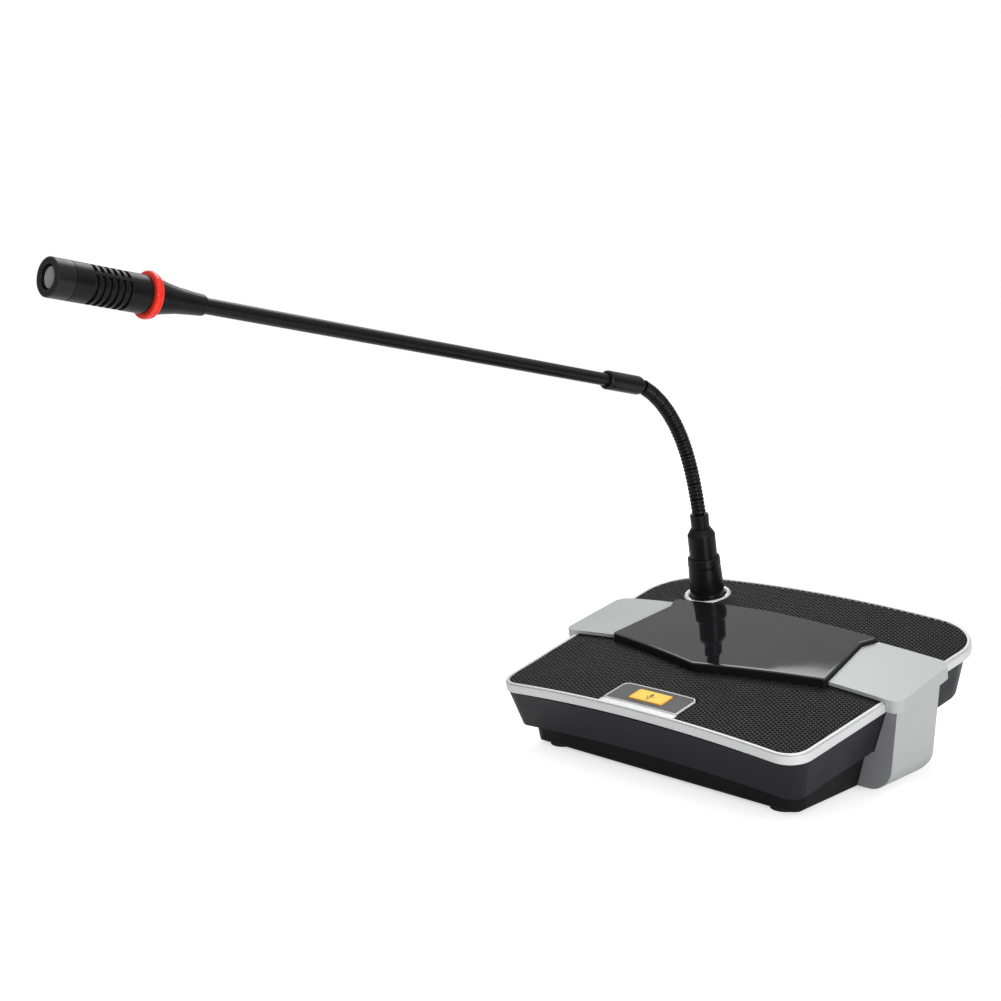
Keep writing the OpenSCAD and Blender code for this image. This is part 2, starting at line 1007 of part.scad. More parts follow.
// arc-shaped slots cut square to the head's axis
module head_slots() {
    for (k = [0 : slot_count - 1], side = [0, 1])
        translate([0, 0, slot_first + k * slot_pitch])
            rotate([0, 0, 39 + 180 * side])
                rotate_extrude(angle = slot_arc)
                    translate([5.5, -slot_w / 2])
                        square([4, slot_w]);
}

module head_barrel() {
    color([0.08, 0.08, 0.083])
        on_stem()
            difference() {
                union() {
                    tube(head_d / 2, 6.3, ring_front + 0.05, head_end - cap_len);
                    // spigot inside the light ring
                    tube(6.3, 5.5, ring_front - 2.8, ring_front + 1);
                    // spigot inside the front cap
                    tube(6.8, 6.3, head_end - cap_len - 1, head_end - cap_len + 4);
                }
                head_slots();
            }
}

// acoustic cloth behind the slots
module head_lining() {
    color([0.03, 0.03, 0.03])
        on_stem()
            tube(6.2, 5.7, slot_first - 3, head_end - cap_len - 1.3);
}

module front_cap() {
    color([0.09, 0.09, 0.093])
        on_stem()
            rotate_extrude()
                polygon([[6.85, head_end - cap_len + 0.05], [head_d / 2, head_end - cap_len + 0.05],
                    [head_d / 2, head_end - 0.4], [head_d / 2 - 0.4, head_end], [4.8, head_end],
                    [4.8, head_end - 1.6], [6.25, head_end - 1.6], [6.25, head_end - 3.8],
                    [6.85, head_end - 3.8]]);
}

module capsule() {
    color([0.62, 0.62, 0.63])
        on_stem() {
            translate([0, 0, head_end - 9.2])
                cylinder(r = 4.9, h = 6);
            for (s = [-1, 1])
                translate([s * 1.5, 0, head_end - 12])
                    cylinder(r = 0.4, h = 3);
        }
}

module capsule_gasket() {
    color([0.03, 0.03, 0.03])
        on_stem()
            tube(6.15, 4.95, head_end - 9, head_end - 1.7);
}

module capsule_screen() {
    color([0.55, 0.55, 0.56])
        on_stem()
            translate([0, 0, head_end - 3.15])
                cylinder(r = 4.1, h = 1.85);
}

bottom_cover();
rubber_feet();
bottom_screws();
ballast_plate();
upper_housing();
top_frame();
front_grille();
rear_grille();
left_side_cover();
right_side_cover();
gloss_panel();
button_bezel();
button_plate();
button_halo();
talk_button();
tact_switch();
control_board();
main_board();
board_pillars();
socket_ring();
base_socket();
socket_contacts();
outlet_flange();
outlet_insert();
outlet_pins();
outlet_screws();
wire_loom();
plug_shell();
plug_insert();
plug_pins();
plug_body();
neck_sleeve();
neck_link_01();
neck_link_02();
neck_link_03();
neck_link_04();
neck_link_05();
neck_link_06();
neck_link_07();
neck_link_08();
neck_link_09();
neck_link_10();
neck_collar();
stem_tube();
head_cone();
light_ring();
ring_light_board();
head_barrel();
head_lining();
front_cap();
capsule();
capsule_gasket();
capsule_screen();
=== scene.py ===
"""Looks for the gooseneck podium microphone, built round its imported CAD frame."""
import json
import math

import bmesh
import bpy
import numpy as np
from mathutils import Matrix, Vector, geometry


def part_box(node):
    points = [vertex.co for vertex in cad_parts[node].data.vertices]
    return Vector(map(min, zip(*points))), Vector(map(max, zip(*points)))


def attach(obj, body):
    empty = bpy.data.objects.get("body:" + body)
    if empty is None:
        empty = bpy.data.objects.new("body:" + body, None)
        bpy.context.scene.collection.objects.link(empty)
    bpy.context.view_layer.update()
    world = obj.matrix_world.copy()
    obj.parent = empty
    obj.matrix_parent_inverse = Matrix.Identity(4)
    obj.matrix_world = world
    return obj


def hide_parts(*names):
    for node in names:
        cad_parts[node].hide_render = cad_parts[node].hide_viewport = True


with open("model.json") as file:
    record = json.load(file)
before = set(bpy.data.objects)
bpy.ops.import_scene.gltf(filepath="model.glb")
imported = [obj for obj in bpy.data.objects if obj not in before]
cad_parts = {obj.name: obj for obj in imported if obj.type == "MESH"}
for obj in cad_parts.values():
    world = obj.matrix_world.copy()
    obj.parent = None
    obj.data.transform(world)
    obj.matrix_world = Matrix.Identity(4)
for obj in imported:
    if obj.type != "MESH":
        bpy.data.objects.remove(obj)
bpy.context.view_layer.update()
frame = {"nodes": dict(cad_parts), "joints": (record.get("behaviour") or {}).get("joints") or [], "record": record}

MM = 0.001
nodes = frame["nodes"]
record = frame["record"]
joints = {j["name"]: j for j in frame["joints"]}
body_of = {n: b for b, names in record["behaviour"]["bodies"].items() for n in names}
slot_of = {p["node"]: p["material_slot"] for p in record["subparts"]}


# ---- where things are, read from the frame ---------------------------------

PLUG_AXIS = Vector(joints["plug_pull_out"]["axis"]).normalized()
SLOPE = math.asin(-PLUG_AXIS.y)
TURN = Matrix.Rotation(SLOPE, 3, "X")

# Sizes in mm. The base's top is measured across (x), up the slope (v) and above its side edges (h).
CROWN, CROWN_HALF = 4.9, 95.0                   # how far the top arches, and over what half width
RIM_FRONT, RIM_REAR = -93.0, 71.0               # the outline of the top along v
RIM_FRONT_HALF, RIM_REAR_HALF = 91.7, 103.2     # and its half widths
RIM_ROUNDS = [13, 13, 26.5, 26.5]               # corner radii, front pair first
BAND = 5.1                                      # height of the silver band
PANEL_TOP = 4.2                                 # top of the gloss panel
PLATE_HALF, PLATE_FRONT, PLATE_REAR = 22.3, -87.6, -69.9
HOLE_PITCH, HOLE_R, SHEET_TOP = 2.25, 0.93, -0.42
FRONT_GRILLE_END, REAR_GRILLE_START = -23.6, 24.2
LENS_MARGIN, LENS_HALF_DEPTH = 1.2, 5.0
LEG_FRONT = -9.8

# Sizes of the microphone in mm; heights along the stem count from the last hinge of the neck.
NECK_R, RIB_PITCH = 3.9, 2.335
COLLAR_R, STEM_R = 4.9, 3.25
CONE_START, RING_BACK, RING_FRONT = 279.4, 302.9, 306.4
RING_R, HEAD_R, HEAD_END, CAP = 9.3, 7.5, 347.6, 8.0
SLOT_FIRST, SLOT_PITCH, SLOT_W, SLOTS = 317.0, 2.85, 1.6, 6
SLOT_START, SLOT_STEP, SLOT_STEPS, STEPS_ROUND = 39, 4, 42, 90     # degrees, degrees, steps in a slot, steps round


def rise(x):
    """Height of the arched top over its side edges."""
    return CROWN * (1 - (x / CROWN_HALF) ** 2)


def sloped_box(node):
    points = np.array([v.co for v in nodes[node].data.vertices]) / MM
    turned = points @ np.array(TURN)
    return turned.min(0), turned.max(0)


def axes(start, direction):
    """A frame at start (metres) whose Z runs along direction; X stays the world's."""
    z = Vector(direction).normalized()
    x = Vector((1, 0, 0))
    y = z.cross(x)
    return Matrix.Translation(Vector(start)) @ Matrix((x, y, z)).transposed().to_4x4()


rim_low, rim_high = sloped_box("top_frame")
TOP = axes(TURN @ Vector((0, rim_low[1] - RIM_FRONT, rim_high[2] - CROWN)) * MM, PLUG_AXIS)
ring_low, ring_high = sloped_box("socket_ring")
SOCKET_X, SOCKET_V = (ring_low[0] + ring_high[0]) / 2, (ring_low[1] + ring_high[1]) / 2 - (rim_low[1] - RIM_FRONT)
SOCKET = TOP @ Matrix.Translation(Vector((SOCKET_X, SOCKET_V, rise(SOCKET_X))) * MM)
chain = sorted((j for j in frame["joints"] if j["name"].startswith("neck_")), key=lambda j: j["child"])
BENDS = [Vector(j["pos_m"]) for j in chain]
low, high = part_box("capsule_screen")
STEM = axes(BENDS[-1], (low + high) / 2 - BENDS[-1])
button_low, button_high = sloped_box("talk_button")
BUTTON_V = (button_low[1] + button_high[1]) / 2 - (rim_low[1] - RIM_FRONT)


# ---- materials --------------------------------------------------------------

def noise(tree, size_mm, detail=3.0, roughness=0.55, stretch=None):
    """Noise whose features are about size_mm across."""
    where = tree.nodes.new("ShaderNodeTexCoord").outputs["Object"]
    if stretch:
        mapping = tree.nodes.new("ShaderNodeMapping")
        mapping.inputs["Scale"].default_value = stretch
        tree.links.new(where, mapping.inputs["Vector"])
        where = mapping.outputs["Vector"]
    tex = tree.nodes.new("ShaderNodeTexNoise")
    tex.inputs["Scale"].default_value = 1000.0 / size_mm
    tex.inputs["Detail"].default_value = detail
    tex.inputs["Roughness"].default_value = roughness
    tree.links.new(where, tex.inputs["Vector"])
    return tex.outputs["Fac"]


def ramp(tree, source, low, high, start=0.3, end=0.7):
    """A colour ramp from low to high."""
    node = tree.nodes.new("ShaderNodeValToRGB")
    node.color_ramp.elements[0].position = start
    node.color_ramp.elements[0].color = (*low, 1)
    node.color_ramp.elements[1].position = end
    node.color_ramp.elements[1].color = (*high, 1)
    tree.links.new(source, node.inputs["Fac"])
    return node.outputs["Color"]


def spread(tree, source, low, high):
    """Noise mapped to a range of values."""
    node = tree.nodes.new("ShaderNodeMapRange")
    node.inputs["From Min"].default_value = 0.3
    node.inputs["From Max"].default_value = 0.7
    node.inputs["To Min"].default_value = low
    node.inputs["To Max"].default_value = high
    tree.links.new(source, node.inputs["Value"])
    return node.outputs["Result"]


def blended(tree, factor, first, second):
    node = tree.nodes.new("ShaderNodeMix")
    node.data_type = "RGBA"
    tree.links.new(factor, node.inputs["Factor"])
    tree.links.new(first, node.inputs[6])
    tree.links.new(second, node.inputs[7])
    return node.outputs[2]


def scaled(colour, k):
    return tuple(min(1.0, c * k) for c in colour)


def material(name, colour, rough, metal=0.0, grain=0.25, depth=0.02, tone=0.12, patch=18.0,
             spread_rough=0.08, wear=0.0, worn=(0.5, 0.5, 0.5), stretch=None, **sockets):
    """A procedural finish: two scales of tone, uneven gloss, a fine grain, and scuffs."""
    mat = bpy.data.materials.new(name)
    mat.use_nodes = True
    tree = mat.node_tree
    shader = tree.nodes["Principled BSDF"]
    fine = noise(tree, grain, 2.0, stretch=stretch)
    broad = noise(tree, patch, 4.0)
    colour_out = ramp(tree, broad, scaled(colour, 1 - tone), scaled(colour, 1 + tone))
    grainy = ramp(tree, fine, scaled(colour, 1 - 2 * tone), scaled(colour, 1 + 2 * tone))
    half = spread(tree, fine, 0.15, 0.5)
    colour_out = blended(tree, half, colour_out, grainy)
    if wear:
        scuff = tree.nodes.new("ShaderNodeMapRange")
        scuff.inputs["From Min"].default_value = 0.66
        scuff.inputs["From Max"].default_value = 0.74
        scuff.inputs["To Max"].default_value = wear
        tree.links.new(noise(tree, 3.2, 6.0, 0.7), scuff.inputs["Value"])
        tint = ramp(tree, fine, scaled(worn, 0.9), worn)
        colour_out = blended(tree, scuff.outputs["Result"], colour_out, tint)
    tree.links.new(colour_out, shader.inputs["Base Color"])
    tree.links.new(spread(tree, broad, rough - spread_rough, rough + spread_rough),
                   shader.inputs["Roughness"])
    shader.inputs["Metallic"].default_value = metal
    bump = tree.nodes.new("ShaderNodeBump")
    bump.inputs["Strength"].default_value = 0.6
    bump.inputs["Distance"].default_value = depth * MM
    tree.links.new(fine, bump.inputs["Height"])
    tree.links.new(bump.outputs["Normal"], shader.inputs["Normal"])
    for key, value in sockets.items():
        shader.inputs[key.replace("_", " ")].default_value = value
    return mat


def edged(mat, colour, start, end):
    """Tints a piece towards the sides of its own box, as a lit lens is at its edges."""
    tree = mat.node_tree
    shader = tree.nodes["Principled BSDF"]
    split = tree.nodes.new("ShaderNodeSeparateXYZ")
    tree.links.new(tree.nodes.new("ShaderNodeTexCoord").outputs["Generated"], split.inputs[0])
    reach = []
    for axis in (0, 1):
        centred = tree.nodes.new("ShaderNodeMath")
        centred.operation = "SUBTRACT"
        centred.inputs[1].default_value = 0.5
        tree.links.new(split.outputs[axis], centred.inputs[0])
        size = tree.nodes.new("ShaderNodeMath")
        size.operation = "ABSOLUTE"
        tree.links.new(centred.outputs[0], size.inputs[0])
        reach.append(size)
    most = tree.nodes.new("ShaderNodeMath")
    most.operation = "MAXIMUM"
    tree.links.new(reach[0].outputs[0], most.inputs[0])
    tree.links.new(reach[1].outputs[0], most.inputs[1])
    mask = tree.nodes.new("ShaderNodeMapRange")
    mask.inputs["From Min"].default_value = start
    mask.inputs["From Max"].default_value = end
    tree.links.new(most.outputs[0], mask.inputs["Value"])
    tint = ramp(tree, noise(tree, 2.0), scaled(colour, 0.9), scaled(colour, 1.1))
    before = shader.inputs["Base Color"].links[0].from_socket
    tree.links.new(blended(tree, mask.outputs["Result"], before, tint), shader.inputs["Base Color"])
    return mat


MATERIALS = {
    "black_moulding": material("black_moulding", (0.005, 0.005, 0.0053), 0.52, grain=0.35, depth=0.03,
                               wear=0.10,
                               worn=(0.02, 0.02, 0.02), Specular_IOR_Level=0.2),
    "grey_moulding": material("grey_moulding", (0.0105, 0.0105, 0.0132), 0.44, grain=0.28, depth=0.02,
                              wear=0.10,
                              worn=(0.045, 0.045, 0.05), Specular_IOR_Level=0.28),
    "silver_trim": material("silver_trim", (0.69, 0.69, 0.695), 0.38, 0.30, grain=0.12, depth=0.005,
                            tone=0.03,
                            patch=40, spread_rough=0.04, wear=0.08, worn=(0.5, 0.5, 0.5)),
    "silver_cover": material("silver_cover", (0.47, 0.475, 0.477), 0.42, 0.25, grain=0.12, depth=0.005,
                             tone=0.025,
                             patch=50, spread_rough=0.04, wear=0.08, worn=(0.42, 0.42, 0.42)),
    # painted shade: a darker copy of the cover silver, for the leg's shaded front face
    "painted_shade_silver": material("painted_shade_silver", (0.25, 0.25, 0.265), 0.45, 0.2, grain=0.12, depth=0.005,
                             tone=0.05,
                             patch=30),
    "black_mesh": material("black_mesh", (0.026, 0.026, 0.027), 0.28, 0.5, grain=0.2, depth=0.004,
                           tone=0.12,
                           Specular_IOR_Level=0.35),
    "black_cloth": material("black_cloth", (0.004, 0.004, 0.004), 0.85, grain=0.25, depth=0.04, tone=0.2),
    "gloss_black": material("gloss_black", (0.010, 0.010, 0.011), 0.05, grain=0.6, depth=0.0005, tone=0.1,
                            patch=30, spread_rough=0.025, wear=0.04, worn=(0.05, 0.05, 0.05), IOR=1.58),
    "soft_rubber": material("soft_rubber", (0.010, 0.010, 0.010), 0.82, grain=0.4, depth=0.05, wear=0.25,
                            worn=(0.05, 0.05, 0.048)),
    "steel": material("steel", (0.5, 0.5, 0.52), 0.34, 1.0, grain=0.3, depth=0.004, stretch=(1, 12, 1)),
    "dark_screw": material("dark_screw", (0.10, 0.10, 0.105), 0.38, 0.9, grain=0.2, depth=0.004),
    "grey_plate": material("grey_plate", (0.052, 0.050, 0.053), 0.42, grain=0.2, depth=0.006, tone=0.08,
                           Specular_IOR_Level=0.35),
    "light_trim": material("light_trim", (0.74, 0.74, 0.73), 0.34, grain=0.2, depth=0.004, tone=0.04),
    "amber_lens": edged(material("amber_lens", (0.90, 0.60, 0.045), 0.34, grain=0.3, depth=0.004,
                                 tone=0.05, patch=9,
                                 Emission_Color=(1.0, 0.66, 0.05, 1), Emission_Strength=0.14,
                                 Specular_IOR_Level=0.3),
                        (0.72, 0.30, 0.025), 0.42, 0.5),
    "orange_edge": material("orange_edge", (0.16, 0.05, 0.012), 0.42, grain=0.2, depth=0.01),
    "black_nylon": material("black_nylon", (0.011, 0.011, 0.011), 0.5, grain=0.3, depth=0.02),
    "circuit_board": material("circuit_board", (0.02, 0.16, 0.06), 0.35, grain=0.5, depth=0.01, patch=3),
    "brass": material("brass", (0.72, 0.52, 0.2), 0.3, 1.0, grain=0.2, depth=0.004),
    "contact_gold": material("contact_gold", (0.9, 0.66, 0.25), 0.22, 1.0, grain=0.2, depth=0.002),
    "bright_ring": material("bright_ring", (0.80, 0.80, 0.81), 0.22, 1.0, grain=0.3, depth=0.002, tone=0.04,
                            wear=0.12, worn=(0.6, 0.6, 0.6)),
    "pin_silver": material("pin_silver", (0.82, 0.81, 0.79), 0.2, 1.0, grain=0.2, depth=0.002, tone=0.04),
    "black_metal": material("black_metal", (0.0045, 0.0045, 0.0054), 0.34, 0.0, grain=0.14, depth=0.005,
                            wear=0.08,
                            worn=(0.025, 0.025, 0.025), spread_rough=0.05, Specular_IOR_Level=0.24),
    "red_lens": material("red_lens", (0.78, 0.028, 0.014), 0.22, grain=0.4, depth=0.002, tone=0.02, patch=6,
                         spread_rough=0.03, Emission_Color=(1.0, 0.05, 0.02, 1), Emission_Strength=0.10),
    "cap_metal": material("cap_metal", (0.0075, 0.0075, 0.0088), 0.34, 0.0, grain=0.14, depth=0.004,
                          wear=0.12,
                          worn=(0.05, 0.05, 0.05), Specular_IOR_Level=0.36),
    "capsule_metal": material("capsule_metal", (0.55, 0.54, 0.53), 0.5, 0.4, grain=0.2, depth=0.01),
    "wire_red": material("wire_red", (0.36, 0.02, 0.015), 0.5, grain=0.4, depth=0.01),
}


# ---- mesh helpers ------------------------------------------------------------

def put(name, verts, faces, place, body, slot, covers=(), bevel=None, finish=None, weighted=True):
    """Makes one piece from points in mm in the frame `place`, and ties it to its body."""
    mesh = bpy.data.meshes.new(name)
    mesh.from_pydata([place @ (Vector(v) * MM) for v in verts], [], faces)
    mesh.validate()
    bm = bmesh.new()
    bm.from_mesh(mesh)
    bmesh.ops.remove_doubles(bm, verts=bm.verts, dist=1e-7)
    bm.to_mesh(mesh)
    bm.free()
    mesh.shade_smooth()
    piece = bpy.data.objects.new(name, mesh)
    bpy.context.scene.collection.objects.link(piece)
    mesh.materials.append(MATERIALS[finish or slot])
    if bevel:
        soften(piece, *bevel)
    if weighted:
        even = piece.modifiers.new("even_normals", "WEIGHTED_NORMAL")
        even.weight = 80
        even.keep_sharp = True
    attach(piece, body)
    if covers:
        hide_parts(*covers)
    return piece


def soften(piece, width, segments=2, angle=28):
    mod = piece.modifiers.new("soft_edges", "BEVEL")
    mod.width = width * MM
    mod.segments = segments
    mod.limit_method = "ANGLE"
    mod.angle_limit = math.radians(angle)
    mod.use_clamp_overlap = True
    mod.miter_outer = "MITER_ARC"


def softened(node, width, segments=2, finish=None, angle=28):
    """The CAD node's own shape with its edges rounded."""
    bm = bmesh.new()
    bm.from_mesh(nodes[node].data)
    bmesh.ops.remove_doubles(bm, verts=bm.verts, dist=2e-6)
    bmesh.ops.dissolve_limit(bm, angle_limit=math.radians(0.08), verts=bm.verts, edges=bm.edges)
    bm.verts.index_update()
    verts = [v.co / MM for v in bm.verts]
    faces = [[v.index for v in f.verts] for f in bm.faces]
    bm.free()
    return put(node + "_skin", verts, faces, Matrix.Identity(4), body_of[node], slot_of[node], (node,),
               bevel=(width, segments, angle), finish=finish)


def outline(points, radii, inset=0.0, round_steps=8, pitch=6.0):
    """A polygon moved in by inset, with round corners; the number of points never changes."""
    n = len(points)
    edges = []
    for i in range(n):
        p, q = Vector(points[i]), Vector(points[(i + 1) % n])
        d = (q - p).normalized()
        edges.append((p + Vector((-d.y, d.x)) * inset, d, (q - p).length))
    corners = []
    for i in range(n):
        p, d, _ = edges[i - 1]
        q, e, _ = edges[i]
        cross = d.x * e.y - d.y * e.x
        t = ((q.x - p.x) * e.y - (q.y - p.y) * e.x) / cross
        corners.append(p + d * t)
    result, tangents = [], []
    for i in range(n):
        d, e = edges[i - 1][1], edges[i][1]
        turn = d.angle_signed(e)
        r = max(radii[i] - inset, 0.05) if radii[i] else 0.0
        cut = r * math.tan(abs(turn) / 2)
        a, b = corners[i] - d * cut, corners[i] + e * cut
        arc = []
        if r:
            side = 1 if d.x * e.y - d.y * e.x > 0 else -1
            centre = a + Vector((-d.y, d.x)) * r * side
            start = math.atan2((a - centre).y, (a - centre).x)
            sweep = math.atan2(d.x * e.y - d.y * e.x, d.dot(e))
            for k in range(round_steps + 1):
                ang = start + sweep * k / round_steps
                arc.append(centre + Vector((math.cos(ang), math.sin(ang))) * r)
        else:
            arc = [corners[i]]
        tangents.append(arc)
    for i in range(n):
        result.extend(tangents[i])
        a, b = tangents[i][-1], tangents[(i + 1) % n][0]
        steps = max(1, round(edges[i][2] / pitch))
        result.extend(a.lerp(b, k / steps) for k in range(1, steps))
    return result


def flat_fill(loop, height, grid=5.0):
    """Points and triangles filling a closed loop, with inner points so that it can be arched."""
    xs = [p.x for p in loop]
    ys = [p.y for p in loop]
    n = len(loop)
    verts = [Vector((p.x, p.y)) for p in loop]
    ring = np.array([[p.x, p.y] for p in loop])
    gx = np.arange(min(xs) + grid / 2, max(xs), grid)
    gy = np.arange(min(ys) + grid / 2, max(ys), grid * 2)
    pts = np.array([[x, y] for x in gx for y in gy]).reshape(-1, 2)
    if len(pts):
        keep = inside(pts, ring)
        dist = np.min(np.linalg.norm(pts[:, None, :] - ring[None, :, :], axis=2), axis=1)
        verts += [Vector(p) for p in pts[keep & (dist > grid * 0.4)]]
    out = geometry.delaunay_2d_cdt(verts, [], [list(range(n))], 1, 1e-5)
    points = [(p.x, p.y, height(p.x, p.y)) for p in out[0]]
    return points, [list(f) for f in out[2]]


def inside(points, ring):
    """Which points lie in a polygon."""
    x, y = points[:, 0], points[:, 1]
    hit = np.zeros(len(points), bool)
    n = len(ring)
    for i in range(n):
        x1, y1 = ring[i]
        x2, y2 = ring[(i + 1) % n]
        cross = (y1 > y) != (y2 > y)
        if y1 == y2:
            continue
        at = (x2 - x1) * (y - y1) / (y2 - y1) + x1
        hit ^= cross & (x < at)
    return hit


def loft(rings, closed=False, first=0):
    """Quads between rings of equal length."""
    n = len(rings[0])
    faces = []
    last = len(rings) if closed else len(rings) - 1
    for i in range(last):
        a, b = i * n, ((i + 1) % len(rings)) * n
        for k in range(n):
            m = (k + 1) % n
            faces.append([first + a + k, first + a + m, first + b + m, first + b + k])
    return [p for ring in rings for p in ring], faces


def slab(points, radii, steps, grid=5.0, bottom=True):
    """A plate on the arched top. steps are (inset, height) pairs from the bottom edge to the top face."""
    rings = []
    for inset, h in steps:
        rings.append([(p.x, p.y, h + rise(p.x)) for p in outline(points, radii, inset)])
    verts, faces = loft(rings)
    for inset, h, flip in ((*steps[-1], False), (*steps[0], True)):
        if flip and not bottom:
            continue
        loop = outline(points, radii, inset)
        more, tris = flat_fill(loop, lambda x, y, h=h: h + rise(x), grid)
        base = len(verts)
        verts += more
        faces += [[base + i for i in (reversed(t) if flip else t)] for t in tris]
    return verts, faces


def fillet(profile, radius, steps=3):
    """Rounds the corners of a closed (r, z) profile."""
    out = []
    n = len(profile)
    for i in range(n):
        p, q, s = (Vector(profile[k % n]) for k in (i - 1, i, i + 1))
        a, b = p - q, s - q
        if q.x < 0.01 or a.length < 1e-6 or b.length < 1e-6:
            out.append(tuple(q))
            continue
        angle = a.angle(b)
        if angle > math.radians(165):
            out.append(tuple(q))
            continue
        cut = min(radius / math.tan(angle / 2), 0.42 * a.length, 0.42 * b.length)
        start, end = q + a.normalized() * cut, q + b.normalized() * cut
        for k in range(steps + 1):
            t = k / steps
            out.append(tuple(start * (1 - t) ** 2 + q * 2 * t * (1 - t) + end * t * t))
    return out


def turned(name, profile, place, body, slot, covers=(), radius=0.25, around=96, finish=None):
    """A turned piece from its closed (r, z) profile."""
    points = fillet(profile, radius) if radius else profile
    rings = []
    for r, z in points:
        rings.append([(r * math.cos(2 * math.pi * k / around), r * math.sin(2 * math.pi * k / around), z)
                      for k in range(around)])
    verts, faces = loft(rings, closed=True)
    piece = put(name, verts, faces, place, body, slot, covers, finish=finish)
    bm = bmesh.new()
    bm.from_mesh(piece.data)
    bmesh.ops.recalc_face_normals(bm, faces=bm.faces)
    bm.to_mesh(piece.data)
    bm.free()
    return piece


# ---- base: silver frame and grilles -------------------------------------------

def trapezoid(front, rear, half_front, half_rear):
    return [(-half_front, front), (half_front, front), (half_rear, rear), (-half_rear, rear)]


RIM = trapezoid(RIM_FRONT, RIM_REAR, RIM_FRONT_HALF, RIM_REAR_HALF)


def silver_frame():
    """Rounded lip, shadow groove and flat band, swept round the top."""
    lip = [(0.85 - 0.35 * math.cos(math.radians(a)), -0.35 + 0.35 * math.sin(math.radians(a)))
           for a in (0, 22, 45, 68, 90)]
    section = [(0.3, -BAND), (0.08, -BAND + 0.1), (0.0, -BAND + 0.35), (0.0, -1.1), (0.03, -0.95), (0.12,
                                                                                                    -0.84),
               (0.25, -0.8), (0.9, -0.8), (0.9, -0.45), (0.5, -0.42)] + lip + \
              [(1.75, 0.0), (2.05, -0.12), (2.18, -0.4), (2.2, -1.6), (4.0, -1.7), (4.0, -3.2), (2.4, -3.3),
               (2.4, -BAND)]
    rings = [[(p.x, p.y, h + rise(p.x)) for p in outline(RIM, RIM_ROUNDS, inset, 12, 4.0)] for inset,
             h in section]
    verts, faces = loft(rings, closed=True)
    # silver strip between the button plate and the front lip
    strip = [(-PLATE_HALF - 0.6, RIM_FRONT + 1.6), (PLATE_HALF + 0.6, RIM_FRONT + 1.6),
             (PLATE_HALF + 0.6, PLATE_FRONT - 0.15), (-PLATE_HALF - 0.6, PLATE_FRONT - 0.15)]
    more, tris = slab(strip, [0, 0, 0, 0], [(0, -2.5), (0, -0.12), (0.12, 0.0)])
    base = len(verts)
    verts = verts + more
    faces = faces + [[base + i for i in f] for f in tris]
    return put("top_frame_skin", verts, faces, TOP, "base", "silver_trim", ("top_frame",))


def panel_points(grow=0.0):
    return [(-66.5 - grow, -27), (0, -44 - grow), (66.5 + grow, -27), (60 + grow, 16), (64.6 + grow,
                                                                                        26 + grow),
            (0, 28.4 + grow), (-64.6 - grow, 26 + grow), (-60 - grow, 16)]


def woven(name, keep, cut, pitch, radius, swing, height, place, body, slot, finish, sides=4, angle=45.0):
    """Two crossing families of wires, each passing over and under the other."""
    keep = np.array([(p.x, p.y) for p in keep])
    cut = [np.array([(p[0], p[1]) for p in c]) for c in cut]
    verts, faces = [], []
    reach = np.abs(keep).max() * 1.5
    for family, turn in ((0, math.radians(angle)), (1, math.radians(angle + 90))):
        along = np.array((math.cos(turn), math.sin(turn)))
        across = np.array((-math.sin(turn), math.cos(turn)))
        count = int(reach / pitch)
        for i in range(-count, count + 1):
            t = np.arange(-reach, reach, pitch / 6)
            spots = along * t[:, None] + across * (i * pitch)
            ok = inside(spots, keep)
            for c in cut:
                ok &= ~inside(spots, c)
            edges = np.flatnonzero(np.diff(ok.astype(int)))
            for a, b in zip(edges[::2], edges[1::2]):
                t0, t1 = t[a + 1], t[b]
                if t1 - t0 < pitch * 0.6:
                    continue
                knots = np.arange(math.ceil(t0 / pitch), math.floor(t1 / pitch) + 1)
                stops = [(k * pitch, (1 if (k + i) % 2 else -1) * (1 if family else -1)) for k in knots]
                stops = [(s, w) for s, w in stops if t0 + pitch * 0.2 < s < t1 - pitch * 0.2]
                stops = [(t0, 0)] + stops + [(t1, 0)]
                first = len(verts)
                for s, w in stops:
                    x, y = along * s + across * (i * pitch)
                    h = height(x) + w * swing
                    for k in range(sides):
                        ang = 2 * math.pi * (k + 0.5) / sides
                        o, u = radius * math.cos(ang), radius * math.sin(ang)
                        verts.append((x + across[0] * o, y + across[1] * o, h + u))
                for j in range(len(stops) - 1):
                    for k in range(sides):
                        m = (k + 1) % sides
                        a0, b0 = first + j * sides, first + (j + 1) * sides
                        faces.append([a0 + k, a0 + m, b0 + m, b0 + k])
                faces.append([first + k for k in reversed(range(sides))])
                end = first + (len(stops) - 1) * sides
                faces.append([end + k for k in range(sides)])
    return put(name, verts, faces, place, body, slot, finish=finish, weighted=False)


